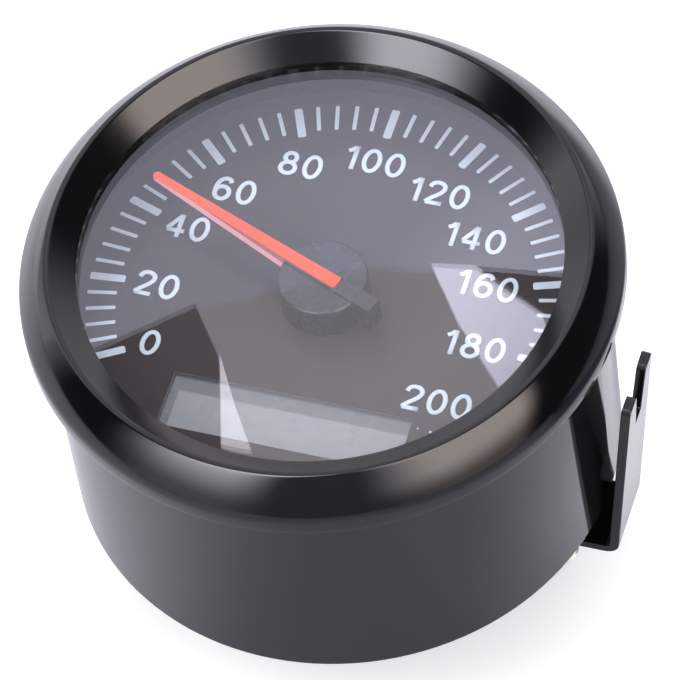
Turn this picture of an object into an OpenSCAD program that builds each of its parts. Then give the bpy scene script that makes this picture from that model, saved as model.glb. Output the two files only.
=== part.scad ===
// Panel speedometer with a pointer, a display window and a clamp bracket.
// Sizes are in millimetres. The origin is on the gauge's axis, in the plane of the bezel's
// seat on the panel. +Z points out of the dial, +Y to the top of the dial, +X to its right.

/* [Case] */
// Outside radius of the case just behind the bezel
case_r = 42.5; // [40:0.5:46]
// How much smaller the case's radius is at its back
case_draft = 0.3; // [0:0.1:0.6]
// Length of the case behind the bezel's seat
case_len = 41; // [38:1:50]
// Thickness of the case's side wall
case_wall = 2.1; // [1.6:0.1:2.4]
// Thickness of the case's floor
case_floor = 2.5; // [2:0.1:3]
// Rounding of the case's rear edge
case_round = 0.8; // [0.4:0.1:1.4]
// Gap between the case's flange and the bezel's wall
flange_gap = 0.15; // [0.1:0.05:0.5]
// Thickness of the case's flange
flange_t = 1.4; // [1:0.1:1.8]

/* [Bezel] */
// Height of the bezel's crest above its seat
bezel_h = 8.5; // [8:0.1:10]
// How far the bezel stands out past the case
bezel_over = 2.85; // [2.5:0.05:3.5]
// How far the bezel's crest lies inside the case's outside
crest_in = 1.9; // [1.5:0.1:2.3]
// Rounding of the crest
crest_round = 0.9; // [0.85:0.05:1.2]
// Width of the bezel's inner face, from the crest to the lip
inner_face_w = 4.2; // [3.6:0.1:5]
// Width of the turned-down lip's foot
lip_foot = 0.75; // [0.4:0.05:1]
// Slope of the inner face, in degrees
inner_slope = 36.5; // [35:0.5:38]
// Slope of the outer face, in degrees
outer_slope = 50; // [48:1:52]
// Rounding between the outer face and the upright wall
shoulder_round = 3; // [2:0.1:3.5]
// Rounding of the bezel's lower edge
hem_round = 0.4; // [0.1:0.05:0.7]
// Thickness of the bezel's sheet
sheet_t = 0.8; // [0.6:0.05:0.84]
// Gap between the turned-in hem and the case
hem_gap = 0.25; // [0.1:0.05:0.5]

/* [Glass] */
// How far the glass's edge lies inside the case's outside
lens_in = 0.5; // [0.2:0.1:1]
// Thickness of the glass
lens_t = 2; // [1.5:0.1:2.1]
// Thickness of the seal's web and lips
seal_t = 0.4; // [0.3:0.05:0.5]
// How far the seal's front lip reaches over the glass
seal_lap = 1; // [0.6:0.1:1.4]
// Thickness of the gloss ring between glass and dial
inner_ring_t = 1; // [0.6:0.1:1.2]

/* [Dial] */
// Depth of the dial below the glass
dial_depth = 8.85; // [8:0.05:10]
// Thickness of the dial
dial_t = 0.5; // [0.3:0.1:1]
// Radius of the hole round the pointer's shaft
dial_hole_r = 1.6; // [1:0.1:2.5]
// Width of the display's frame beside the window
display_frame = 2.4; // [1:0.1:4]
// Height of the display window
window_h = 9.6; // [8:0.1:10]
// Centre of the window to the right of the axis
window_x = 0.3; // [-0.5:0.1:0.5]
// Distance from the light guide's rim to the display's foot
display_in = 9; // [8.3:0.1:9.5]
// Angle swept by one kilometre per hour, in degrees
deg_per_kmh = 1.2; // [1:0.05:1.3]
// Direction of the dial's zero mark, in degrees from +X
zero_angle = 210; // [200:1:220]
// Speed that the pointer shows
shown_speed = 43; // [0:1:200]

/* [Lighting] */
// Thickness of the light guide under the dial
guide_t = 2; // [1.5:0.1:2.5]
// Clear height from the board up to the light guide
housing_h = 7; // [6.5:0.1:9]
// Thickness of the light housing's wall
housing_wall = 1.5; // [1.2:0.1:1.8]
// Thickness of the light housing's floor
housing_floor = 1.2; // [0.8:0.1:1.6]
// Width of the ledge that carries the light guide
ledge_w = 1.6; // [1:0.1:2]
// Number of lamps along the dial's scale
led_count = 10; // [6:1:12]
// Distance from the case's inside to the arc of lamps
led_in = 12.4; // [11.5:0.1:14]
// Length of a lamp
led_l = 3; // [2:0.1:3.5]
// Width of a lamp
led_w = 1.6; // [1:0.1:2.5]
// Height of a lamp
led_h = 1.1; // [0.6:0.1:2]

/* [Display] */
// Gap between the display and the bosses beside it
display_gap = 0.55; // [0.3:0.05:2]
// Height of the display's glass
lcd_h = 14.4; // [13.6:0.2:14.8]
// Thickness of the display's glass
lcd_t = 2.2; // [1.8:0.1:2.4]
// Wall of the display's light box
lcd_box_wall = 1.2; // [0.8:0.1:1.6]
// Number of pins on the display
lcd_pins = 18; // [8:1:20]
// Distance from the display's end to its first pin
lcd_pin_margin = 4; // [2:0.5:8]
// Radius of a display pin
lcd_pin_r = 0.25; // [0.2:0.05:0.35]

/* [Boards] */
// Thickness of both circuit boards
board_t = 1.6; // [1.2:0.1:2]
// Gap between the main board and the case
board_gap = 1; // [0.5:0.1:1.5]
// Gap between the power board and the case
power_board_gap = 1.8; // [1:0.1:2]
// Height of the case's bosses above its floor
boss_h = 4; // [4:0.1:5]
// Radius of a boss
boss_r = 3.2; // [2.8:0.1:3.4]
// Distance from the case's inside to the bosses, spacers and screws
fix_in = 5.4; // [5.1:0.1:6]
// Radius of the small screws and spacer threads
screw_r = 1.25; // [1:0.05:1.4]
// Width across the flats of a spacer
spacer_af = 5; // [4.5:0.1:5.5]
// Radius of a screw's head
screw_head_r = 2.2; // [2:0.1:2.5]
// Height of a screw's head
screw_head_h = 1.5; // [1:0.1:2]
// Height of the column under a screw's head
column_h = 3; // [2:0.1:4]
// Width of the main chip
chip_w = 10; // [8:0.5:11]
// Thickness of the chips
chip_t = 1.4; // [0.8:0.1:1.6]
// Width of a small chip
small_chip_w = 5; // [4:0.5:6]
// Length of a small chip
small_chip_l = 6; // [4:0.5:7]
// Width of the crystal's can
crystal_w = 4.6; // [3.2:0.1:4.8]
// Length of the crystal's can
crystal_l = 11; // [8:0.5:12]
// Height of the crystal's can
crystal_h = 3.4; // [2.5:0.1:4]
// Width of the header between the boards
link_w = 5; // [4:0.5:6]
// Length of the header between the boards
link_l = 16; // [12:1:20]
// Radius of the large capacitor
can_r = 4; // [3:0.1:4.2]
// Height of the large capacitor
can_h = 8; // [6:0.5:9]
// Radius of a small capacitor
small_can_r = 3.2; // [2.5:0.1:3.4]
// Height of a small capacitor
small_can_h = 6; // [4:0.5:6.5]
// Width of the regulator
regulator_w = 6.6; // [5:0.1:7]
// Thickness of the regulator
regulator_t = 2.3; // [1.6:0.1:3]

/* [Movement] */
// Tooth module of the gears
gear_m = 0.3; // [0.3:0.01:0.32]
// Teeth on the output wheel
output_teeth = 50; // [46:2:52]
// Teeth on each small pinion
pinion_teeth = 10; // [10:2:12]
// Teeth on the idler's large wheel
idler_teeth = 40; // [36:2:42]
// Distance of the idler to the left of the axis
idler_side = 6; // [5.5:0.1:6.5]
// Thickness of the gear wheels
gear_t = 0.9; // [0.6:0.1:1]
// Radius of the pointer's shaft
shaft_r = 0.75; // [0.6:0.05:1]
// Radius of the idler's and rotor's pivots
pivot_r = 0.5; // [0.4:0.05:0.6]
// Running clearance of each pivot and shaft
run_gap = 0.05; // [0.02:0.01:0.08]
// Clear space between the idler's wheel and the movement's side
gear_room = 0.4; // [0.3:0.1:1]
// Depth of the movement's body
motor_t = 8.5; // [8.2:0.1:9]
// Wall of the movement's body
motor_wall = 1; // [0.8:0.1:1.1]
// Radius of the rotor's magnet
magnet_r = 2.6; // [2.2:0.1:2.8]
// Length of the rotor's magnet
magnet_l = 3; // [2.4:0.1:3.2]
// Thickness of the stator
stator_t = 1.4; // [1:0.1:1.6]
// Radius of a coil
coil_r = 1.6; // [1.5:0.05:1.7]

/* [Pointer] */
// Radius of the pointer's cap
cap_r = 6.8; // [6:0.1:8]
// Height of the cap's flat top above its foot
cap_h = 5.7; // [5.5:0.1:6]
// Gap between the cap's foot and the dial
cap_gap = 0.45; // [0.3:0.05:0.7]
// Rounding of the cap's top edge
cap_round = 0.5; // [0.2:0.1:0.8]
// Thickness of the cap's top
cap_top = 3.6; // [3.4:0.1:3.8]
// Height of the bar above the cap
bar_h = 0.4; // [0.2:0.05:0.6]
// Width of the bar
bar_w = 2.7; // [2.6:0.1:3.2]
// Reach of the bar's tail from the axis
tail_r = 9.8; // [8:0.1:12]
// Depth of the tail
tail_d = 5; // [4:0.1:5.2]
// Reach of the needle's tip from the axis
needle_r = 32.7; // [30:0.1:35]
// Reach of the needle's root past the axis
needle_root = 2.9; // [2:0.1:4]
// Width of the needle at the cap
needle_w = 2.1; // [1.6:0.1:2.2]
// Width of the needle at its tip
needle_tip_w = 1.25; // [0.8:0.05:1.5]
// Depth of the needle at the cap
needle_d = 3; // [2.6:0.1:3.1]
// Depth of the needle at its tip
needle_tip_d = 0.7; // [0.5:0.1:1]
// Thickness of the coloured foil
foil_t = 0.12; // [0.08:0.01:0.2]
// Height of the foil's top above the bar
foil_up = 0.22; // [0.15:0.01:0.4]

/* [Socket] */
// Inside width of the socket
socket_w = 16; // [15:0.2:18]
// Inside height of the socket
socket_h = 9; // [8.6:0.2:10]
// Wall of the socket
socket_wall = 1; // [0.8:0.1:1.3]
// Centre of the socket below the axis
socket_y = 22; // [21:0.2:22.6]
// How far the socket stands out behind the case
socket_out = 10; // [9:0.2:12]
// Depth of the socket's hollow
socket_depth = 10; // [9.4:0.2:10]
// Length of the pins in the hollow
socket_pin_l = 5; // [4:0.1:5]
// Distance between the socket's pins
socket_pitch = 3.8; // [3.4:0.1:4]
// Half width of a socket pin
socket_pin_half = 0.5; // [0.35:0.05:0.6]
// Width of the socket's flange
socket_flange = 2; // [1.5:0.1:2.2]
// Thickness of the socket's flange
socket_flange_t = 1.5; // [1:0.1:1.6]
// Thickness of the socket's seal
socket_seal_t = 0.8; // [0.5:0.1:1]

/* [Studs] */
// Radius of the clamp studs
stud_r = 2; // [1.5:0.1:2.5]
// How far the studs lie inside the case's outside
stud_in = 9; // [8.5:0.1:10]
// Length of a stud behind the case
stud_out = 20.5; // [20:0.5:26]
// Radius of a stud's head inside the case
stud_head_r = 4; // [3.6:0.1:4.4]
// Thickness of a stud's head
stud_head_t = 2; // [1.4:0.1:2.4]
// Width of a nut across its flats
nut_af = 7; // [6.5:0.1:8]
// Height of a nut
nut_h = 3.2; // [2.6:0.1:3.4]
// Radius of a plain washer
washer_r = 4.5; // [4:0.1:5]
// Thickness of a plain washer
washer_t = 0.8; // [0.6:0.1:1]
// Radius of a spring washer
lock_r = 3.8; // [3.4:0.1:4]
// Thickness of a spring washer
lock_t = 0.9; // [0.7:0.1:1.1]
// Radial clearance between a stud and its nut
thread_gap = 0.05; // [0.03:0.01:0.08]
// Radial clearance of the bracket and washers on a stud
stud_gap = 0.25; // [0.2:0.05:0.4]

/* [Bracket] */
// Width of the bracket's strip
bracket_w = 12; // [10:0.5:14]
// Thickness of the bracket's strip
bracket_t = 1.5; // [1:0.1:1.6]
// Gap between the bracket's base and the back of the case
bracket_gap = 7.5; // [7:0.1:9]
// Gap between a leg's foot and the case
leg_gap = 0.5; // [0.4:0.1:1.5]
// Length of the legs above the base
leg_len = 37.9; // [34:0.1:38.5]
// Outward lean of the right leg, in degrees
lean_right = 6.2; // [4:0.1:7]
// Outward lean of the left leg, in degrees
lean_left = 4.7; // [4:0.1:7]
// Inside radius of the bends
bend_r = 1; // [0.8:0.1:1.5]
// Width of a prong at its tip
prong_w = 3.4; // [2.6:0.1:4]
// Width of the notch at its foot
notch_w = 2.8; // [1.5:0.1:3]
// Depth of the notch
notch_d = 9; // [6:0.1:11]

/* [Hidden] */
$fn = 96;

// Clearance between still pieces that fit inside one another
fit_gap = 0.1;
// Extra length of a cutting shape past the face that it cuts
cut = 1;
// Gap round a pressed or soldered piece
press_gap = 0.02;

// Heights of the stack, counted from the bezel's seat
flange_z = sheet_t;
flange_top = flange_z + flange_t;
lens_z = flange_top + seal_t;
lens_top = lens_z + lens_t;
dial_z = lens_z - dial_depth;
dial_back = dial_z - dial_t;
guide_back = dial_back - guide_t;
board_z = guide_back - housing_h;
board_back = board_z - board_t;
floor_z = case_floor - case_len;
power_back = floor_z + boss_h;
power_z = power_back + board_t;
back_z = -case_len;

// Radii of the bezel and the glass, from the case
bezel_r = case_r + bezel_over;
flange_w = bezel_over - sheet_t - flange_gap;
crest_r = case_r - crest_in;
lip_r = crest_r - inner_face_w;
lens_r = case_r - lens_in;

// Inside of the case and what stands in it
case_in_r = case_r - case_wall;
ring_r = case_in_r - fit_gap;
housing_r = ring_r - fit_gap;
housing_in_r = housing_r - housing_wall;
guide_r = housing_in_r - fit_gap;
board_r = case_in_r - board_gap;
power_board_r = case_in_r - power_board_gap;
fix_ring_r = case_in_r - fix_in;
led_ring_r = case_in_r - led_in;
stud_x = case_r - stud_in;

// Where the display lies, and its row of pins
lcd_top = dial_back - fit_gap;
lcd_back = lcd_top - lcd_t;
window_y = guide_r - display_in - lcd_h / 2;
lcd_w = 2 * (fix_ring_r * cos(45) - boss_r - display_gap);
lcd_pitch = (lcd_w - 2 * lcd_pin_margin) / (lcd_pins - 1);
window_w = lcd_w - 2 * display_frame;
lcd_ledge = 1.6;
lcd_row_y = (lcd_ledge - lcd_h) / 2 - window_y;
lcd_well_w = lcd_w + 4 * fit_gap;
lcd_well_h = lcd_h + 4 * fit_gap;

// Room left round the shaft, the lamps and the movement's pins
shaft_room = 0.9;
lamp_room = 0.4;
pin_room = 0.4;

// Levels of the gears, from the board backwards
layer_gap = 0.2;
motor_in_z = board_back - motor_wall;
output_z = motor_in_z - 1.5 * layer_gap - gear_t;
idler_z = output_z - 2 * layer_gap - gear_t;
pinion_z = idler_z - layer_gap;
magnet_z = pinion_z - layer_gap - magnet_l;
motor_back = board_back - motor_t;
cover_in_z = motor_back + motor_wall;
split_z = (board_back + motor_back) / 2;
stator_z = magnet_z + (magnet_l - stator_t) / 2;
pivot_seat = 0.6;
pivot_end = 0.1;
pivot_low = cover_in_z - pivot_seat + pivot_end;
pivot_high = motor_in_z + pivot_seat - pivot_end;
pinion_over = layer_gap / 2;
hub_r = 1.1;

// Shape of the gear teeth
pressure_angle = 20;
gear_play = 0.03;
wheel_tip = 0.7;
pinion_tip = 1;
root_depth = 1.25;

// Pitch radii and centres of the gears
idler_x = -idler_side;
output_pr = gear_m * output_teeth / 2;
pinion_pr = gear_m * pinion_teeth / 2;
idler_pr = gear_m * idler_teeth / 2;
output_dist = output_pr + pinion_pr;
rotor_dist = idler_pr + pinion_pr;
idler_y = sqrt(output_dist * output_dist - idler_x * idler_x);
rotor_y = idler_y + sqrt(rotor_dist * rotor_dist - idler_x * idler_x);
output_dir = atan2(idler_y, idler_x);
rotor_dir = atan2(rotor_y - idler_y, -idler_x);

// Stator, coils and pins of the movement
stator_ring = 2.2;
air_gap = 0.4;
limb_w = 1.6;
core_w = 3;
yoke_w = 2;
limb_l = 9.3;
yoke_y = rotor_y + limb_l;
coil_x = 8.5;
post_x = 5;
motor_pin_r = 0.4;
motor_pin_l = 2;
first_pin_y = 2.3;
pin_pitch = 3;
edge_room = 0.5;

// Outline of the movement's body
motor_half_w = idler_pr + wheel_tip * gear_m - idler_x + gear_room + motor_wall;
motor_low = output_pr + wheel_tip * gear_m + gear_room + motor_wall;
motor_high = yoke_y + yoke_w / 2 + edge_room + motor_wall;
motor_corner = 3;
pin_x = motor_half_w - motor_wall - 2 * motor_pin_r;
pin_ys = [rotor_y + first_pin_y, rotor_y + first_pin_y + pin_pitch];

// Heights of the pointer
cap_foot = dial_z + cap_gap;
cap_top_z = cap_foot + cap_h;
bar_z = cap_top_z + bar_h;
foil_z = bar_z + foil_up;
needle_z = foil_z - foil_t;
slot_z = needle_z - needle_d - fit_gap;
shaft_top = slot_z - 5 * fit_gap;
cap_wall = 1;
pointer_angle = zero_angle - deg_per_kmh * shown_speed;
scale_sweep = deg_per_kmh * 200;

// Heights of the bracket and its fixings
bracket_top = back_z - bracket_gap;
bracket_low = bracket_top - bracket_t;
leg_x = case_r + leg_gap + bracket_t;
washer_z = bracket_low - washer_t;
lock_z = washer_z - lock_t;
nut_z = lock_z - nut_h;

// Places of the parts on the boards
processor_at = [-22, -6];
crystal_at = [-30.5, -6];
chip_places = [[-16, -15], [-8, -15], [20, 9]];
link_at = [27, 0];
large_can_at = [-24, 8];
small_can_places = [[-24, -4], [17, -17]];
regulator_at = [19, -7];

// Places that repeat
fix_angles = [45, 135, 225, 315];
sides = [-1, 1];

// Points of an arc about a centre, from one angle to another
function arc(centre, r, from, to, steps) =
    [for (i = [0:steps]) let (a = from + (to - from) * i / steps)
        [centre[0] + r * cos(a), centre[1] + r * sin(a)]];

// Points on a line with a given upright normal, at a given radius
function on_line(level, normal, r) = [r, (level - r * cos(normal)) / sin(normal)];

// A ring with flat ends, between two heights
module tube(r_out, r_in, low, high) {
    translate([0, 0, low])
        difference() {
            cylinder(r = r_out, h = high - low);
            translate([0, 0, -cut]) cylinder(r = r_in, h = high - low + 2 * cut);
        }
}

// A solid disc between two heights
module disc(r, low, high) {
    translate([0, 0, low]) cylinder(r = r, h = high - low);
}

// A block centred on a point, between two heights
module block(w, d, low, high, at = [0, 0]) {
    translate([at[0] - w / 2, at[1] - d / 2, low]) cube([w, d, high - low]);
}

// A plate with round corners from one corner point to the other
module round_plate(x0, y0, x1, y1, r, low, high) {
    translate([0, 0, low]) linear_extrude(high - low)
        polygon(concat(
            arc([x1 - r, y1 - r], r, 0, 90, 6), arc([x0 + r, y1 - r], r, 90, 180, 6),
            arc([x0 + r, y0 + r], r, 180, 270, 6), arc([x1 - r, y0 + r], r, 270, 360, 6)));
}

// The same thing at each board fixing
module at_fixings() {
    for (a = fix_angles) rotate(a) translate([fix_ring_r, 0, 0]) children();
}

// The same thing at each stud
module at_studs() {
    for (side = sides) translate([side * stud_x, 0, 0]) children();
}

// Pressed steel bezel, rolled over the glass and under the case's flange
module bezel() {
    crest_c = [crest_r, bezel_h - crest_round];
    inner_n = 90 + inner_slope;
    outer_n = 90 - outer_slope;
    inner_level = crest_c[0] * cos(inner_n) + crest_c[1] * sin(inner_n) + crest_round;
    outer_level = crest_c[0] * cos(outer_n) + crest_c[1] * sin(outer_n) + crest_round;
    shoulder_x = bezel_r - shoulder_round;
    shoulder_c = [shoulder_x,
        (outer_level - shoulder_round - shoulder_x * cos(outer_n)) / sin(outer_n)];
    foot_r = lip_r + lip_foot;
    hem_r = case_r + hem_gap;
    outside = concat(
        [[lip_r, lens_top], on_line(inner_level, inner_n, lip_r)],
        arc(crest_c, crest_round, inner_n, outer_n, 12),
        arc(shoulder_c, shoulder_round, outer_n, 0, 10),
        arc([bezel_r - hem_round, hem_round], hem_round, 0, -90, 4));
    inside = concat(
        [[hem_r, 0], [hem_r, sheet_t], [bezel_r - sheet_t, sheet_t]],
        arc(shoulder_c, shoulder_round - sheet_t, 0, outer_n, 10),
        arc(crest_c, crest_round - sheet_t, outer_n, inner_n, 4),
        [on_line(inner_level - sheet_t, inner_n, foot_r), [foot_r, lens_top]]);
    color("#1b1b1d") rotate_extrude() polygon(concat(outside, inside));
}

// Flat glass
module lens() {
    color([0.8, 0.85, 0.9, 0.3]) disc(lens_r, lens_z, lens_top);
}

// Rubber channel round the edge of the glass
module lens_seal() {
    web_r = lens_r + run_gap;
    color("#151515") difference() {
        disc(web_r + seal_t, flange_top, lens_top + seal_t);
        disc(case_in_r, flange_top - cut, lens_top);
        disc(lens_r - seal_lap, lens_top - cut, lens_top + seal_t + cut);
        disc(web_r, lens_z, lens_top);
    }
}

// Gloss black ring that holds the dial down and the glass up
module inner_ring() {
    color("#101012") tube(ring_r, ring_r - inner_ring_t, dial_z, lens_z);
}

// Moulded case: a cup with a front flange, board bosses and holes in its floor
module case() {
    rear_r = case_r - case_draft;
    outline = concat(
        [[0, back_z]],
        arc([rear_r - case_round, back_z + case_round], case_round, -90, 0, 6),
        [[case_r, flange_z], [case_r + flange_w, flange_z], [case_r + flange_w, flange_top],
            [case_in_r, flange_top], [case_in_r, floor_z], [0, floor_z]]);
    color("#222225") difference() {
        union() {
            rotate_extrude() polygon(outline);
            at_fixings() disc(boss_r, floor_z - cut / 2, power_back);
        }
        at_fixings() disc(screw_r + run_gap, floor_z + fit_gap, power_back + cut);
        at_studs() disc(stud_r + run_gap, back_z - cut, floor_z + cut);
        block(socket_w + 2 * (socket_wall + fit_gap), socket_h + 2 * (socket_wall + fit_gap),
            back_z - cut, floor_z + cut, [0, -socket_y]);
    }
}

// Printed dial with the display window
module dial_face() {
    color("#434044") difference() {
        disc(ring_r, dial_back, dial_z);
        disc(dial_hole_r, dial_back - cut, dial_z + cut);
        block(window_w, window_h, dial_back - cut, dial_z + cut, [window_x, -window_y]);
    }
}

// Clear plate that spreads the lamps' light behind the dial
module light_guide() {
    color([0.9, 0.95, 0.95, 0.5]) difference() {
        disc(guide_r, guide_back, dial_back);
        disc(dial_hole_r + shaft_room, guide_back - cut, dial_back + cut);
        block(lcd_well_w, lcd_well_h, guide_back - cut, dial_back + cut, [0, -window_y]);
    }
}

// White tray that carries the dial and the light guide and mixes the light
module light_housing() {
    color("#f0f0ee") difference() {
        union() {
            tube(housing_r, housing_in_r, board_z, dial_back);
            tube(housing_in_r + cut / 2, housing_in_r - ledge_w, board_z, guide_back);
            disc(housing_in_r, board_z, board_z + housing_floor);
            at_fixings() disc(boss_r, board_z, board_z + column_h);
        }
        at_fixings() disc(screw_r + fit_gap, board_z - cut, board_z + column_h + cut);
        at_fixings() disc(screw_head_r + fit_gap, board_z + column_h, dial_back);
        disc(dial_hole_r + shaft_room, board_z - cut, board_z + housing_floor + cut);
        block(lcd_well_w, lcd_well_h, board_z - cut, dial_back + cut, [0, -window_y]);
        lamp_places(led_w + 2 * lamp_room, led_l + 2 * lamp_room, board_z - cut,
            board_z + housing_floor + cut);
        at_motor_pins() disc(motor_pin_r + pin_room, board_z - cut, board_z + housing_floor + cut);
    }
}

// Blocks at the places of the lamps along the dial's scale
module lamp_places(w, l, low, high) {
    for (i = [0:led_count - 1])
        rotate(zero_angle - (i + 0.5) * scale_sweep / led_count)
            block(w, l, low, high, [led_ring_r, 0]);
}

// Lamps on the board
module backlight_lamps() {
    color("#f4f1d8") lamp_places(led_w, led_l, board_z, board_z + led_h);
}

// Liquid crystal display
module display_glass() {
    color("#aab0b8") block(lcd_w, lcd_h, lcd_back, lcd_top, [0, -window_y]);
}

// White light box between the display and the board
module display_light_box() {
    box_h = lcd_h - lcd_ledge;
    box_at = [0, lcd_ledge / 2 - window_y];
    color("#f2f2f0") difference() {
        block(lcd_w, box_h, board_z, lcd_back, box_at);
        block(lcd_w - 2 * lcd_box_wall, box_h - 2 * lcd_box_wall, board_z + lcd_box_wall,
            lcd_back + cut, box_at);
    }
}

// The same thing at each pin of the display
module at_display_pins() {
    for (i = [0:lcd_pins - 1])
        translate([(i - (lcd_pins - 1) / 2) * lcd_pitch, lcd_row_y, 0]) children();
}

// Pins from the display's edge through the board
module display_pins() {
    color("#c8c8c8") at_display_pins() disc(lcd_pin_r, board_back - 2 * lcd_pin_r, lcd_back);
}

// Board behind the dial
module main_board() {
    color("#1e5a36") difference() {
        disc(board_r, board_back, board_z);
        disc(dial_hole_r + shaft_room, board_back - cut, board_z + cut);
        at_fixings() disc(screw_r + fit_gap, board_back - cut, board_z + cut);
        at_motor_pins() disc(motor_pin_r + run_gap, board_back - cut, board_z + cut);
        at_display_pins() disc(lcd_pin_r + run_gap, board_back - cut, board_z + cut);
    }
}

// Main chip on the back of the main board
module processor() {
    color("#2a2a2c") block(chip_w, chip_w, board_back - chip_t, board_back, processor_at);
}

// Can of the clock's crystal
module crystal() {
    color("#c9c9cc") block(crystal_w, crystal_l, board_back - crystal_h, board_back, crystal_at);
}

// Memory and driver chips on the back of the main board
module small_chips() {
    color("#2a2a2c") for (at = chip_places)
        block(small_chip_w, small_chip_l, board_back - chip_t, board_back, at);
}

// Tall header that joins the two boards
module board_link() {
    color("#26262a") block(link_w, link_l, power_z, board_back, link_at);
}

// Board that takes the supply and carries the socket
module power_board() {
    color("#1e5a36") difference() {
        disc(power_board_r, power_back, power_z);
        at_fixings() disc(screw_r + fit_gap, power_back - cut, power_z + cut);
        socket_pin_places(socket_pin_half + run_gap, power_back - cut, power_z + cut);
    }
}

// Can capacitors on the power board
module capacitors() {
    color("#3b4a6b") {
        translate(large_can_at) disc(can_r, power_z, power_z + can_h);
        for (at = small_can_places)
            translate(at) disc(small_can_r, power_z, power_z + small_can_h);
    }
}

// Voltage regulator on the power board
module regulator() {
    tab_l = 3;
    tab_t = 0.9;
    tab_step = 0.6;
    color("#2a2a2c") block(regulator_w, regulator_w, power_z, power_z + regulator_t, regulator_at);
    color("#b8b8b8") block(regulator_w - 2 * tab_step, tab_l, power_z, power_z + tab_t,
        regulator_at - [0, (regulator_w + tab_l) / 2]);
}

// Six-sided brass spacers between the boards, screwed into the case's bosses
module spacers() {
    stub_end = 0.5;
    tapped_l = 6;
    color("#b5963c") at_fixings() difference() {
        union() {
            translate([0, 0, power_z])
                cylinder(r = spacer_af / 2 / cos(30), h = board_back - power_z, $fn = 6);
            disc(screw_r, floor_z + stub_end, power_z + cut);
        }
        disc(screw_r + run_gap, board_back - tapped_l, board_back + cut);
    }
}

// Screws through the tray and the main board into the spacers
module board_screws() {
    head_z = board_z + column_h;
    head_top = head_z + screw_head_h;
    bite_l = 4;
    slot_t = 0.5;
    slot_l = 3;
    slot_d = 0.7;
    color("#b9b9bd") at_fixings() difference() {
        union() {
            disc(screw_head_r, head_z, head_top);
            disc(screw_r, board_back - bite_l, head_z + cut / 2);
        }
        block(slot_t, slot_l, head_top - slot_d, head_top + cut);
        block(slot_l, slot_t, head_top - slot_d, head_top + cut);
    }
}

// Outline of the movement's body, moved in by a wall
module motor_body(inset, low, high) {
    round_plate(inset - motor_half_w, inset - motor_low, motor_half_w - inset,
        motor_high - inset, motor_corner - inset, low, high);
}

// Places of the three pivots in the movement, with the shaft first
module at_pivots() {
    children(0);
    translate([idler_x, idler_y, 0]) children(1);
    translate([0, rotor_y, 0]) children(1);
}

// The same thing at each pin of the movement
module at_motor_pins() {
    for (side = sides) for (y = pin_ys) translate([side * pin_x, y, 0]) children();
}

// Front half of the stepping movement
module motor_housing() {
    color("#e4e4e0") difference() {
        motor_body(0, split_z, board_back);
        motor_body(motor_wall, split_z - cut, motor_in_z);
        at_pivots() {
            disc(shaft_r + run_gap, motor_in_z - cut, board_back + cut);
            disc(pivot_r + run_gap, motor_in_z - cut, motor_in_z + pivot_seat);
        }
        at_motor_pins() disc(motor_pin_r + run_gap, motor_in_z - cut, board_back + cut);
    }
}

// Rear half of the stepping movement, with posts under the stator
module motor_cover() {
    color("#d8d8d4") difference() {
        union() {
            difference() {
                motor_body(0, motor_back, split_z);
                motor_body(motor_wall, cover_in_z, split_z + cut);
            }
            for (side = sides) translate([side * post_x, yoke_y, 0])
                disc(yoke_w / 2, cover_in_z - cut / 2, stator_z);
        }
        at_pivots() {
            disc(shaft_r + run_gap, cover_in_z - pivot_seat, cover_in_z + cut);
            disc(pivot_r + run_gap, cover_in_z - pivot_seat, cover_in_z + cut);
        }
    }
}

// Iron stator round the rotor, with a leg for each coil
module motor_stator() {
    low = stator_z;
    high = stator_z + stator_t;
    color("#9a9da2") difference() {
        union() {
            translate([0, rotor_y, 0]) disc(magnet_r + stator_ring, low, high);
            block(core_w, yoke_y - rotor_y, low, high, [0, (yoke_y + rotor_y) / 2]);
            block(2 * coil_x + limb_w, yoke_w, low, high, [0, yoke_y]);
            for (side = sides) {
                block(limb_w, yoke_y - rotor_y + limb_w / 2, low, high,
                    [side * coil_x, (yoke_y + rotor_y - limb_w / 2) / 2]);
                block(coil_x - core_w, limb_w, low, high,
                    [side * (coil_x + core_w) / 2, rotor_y]);
            }
        }
        translate([0, rotor_y, 0]) disc(magnet_r + air_gap, low - cut, high + cut);
    }
}

// Copper coils on the stator's legs
module motor_coils() {
    hole_w = limb_w + 2 * press_gap;
    hole_t = stator_t + 2 * press_gap;
    coil_end = 0.8;
    coil_l = yoke_y - rotor_y - (limb_w + yoke_w) / 2 - 2 * coil_end;
    color("#b4642f") for (side = sides)
        translate([side * coil_x, rotor_y + limb_w / 2 + coil_end, stator_z + stator_t / 2])
            rotate([-90, 0, 0]) difference() {
                cylinder(r = coil_r, h = coil_l);
                translate([-hole_w / 2, -hole_t / 2, -cut]) cube([hole_w, hole_t, coil_l + 2 * cut]);
            }
}

// Pins that join the coils to the board
module motor_pins() {
    pin_end = 0.5;
    color("#c8c8c8") at_motor_pins() disc(motor_pin_r, split_z - motor_pin_l, board_z + pin_end);
}

// Half the angle of an involute tooth at a radius, thinned for play
function base_r(teeth) = gear_m * teeth / 2 * cos(pressure_angle);
function involute(r, teeth) = let (b = base_r(teeth))
    r <= b ? 0 : sqrt(r * r / (b * b) - 1) * 180 / PI - acos(b / r);
function half_tooth(r, teeth) = let (pitch = gear_m * teeth / 2)
    90 / teeth - gear_play / pitch * 90 / PI + involute(pitch, teeth) - involute(r, teeth);

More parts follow.
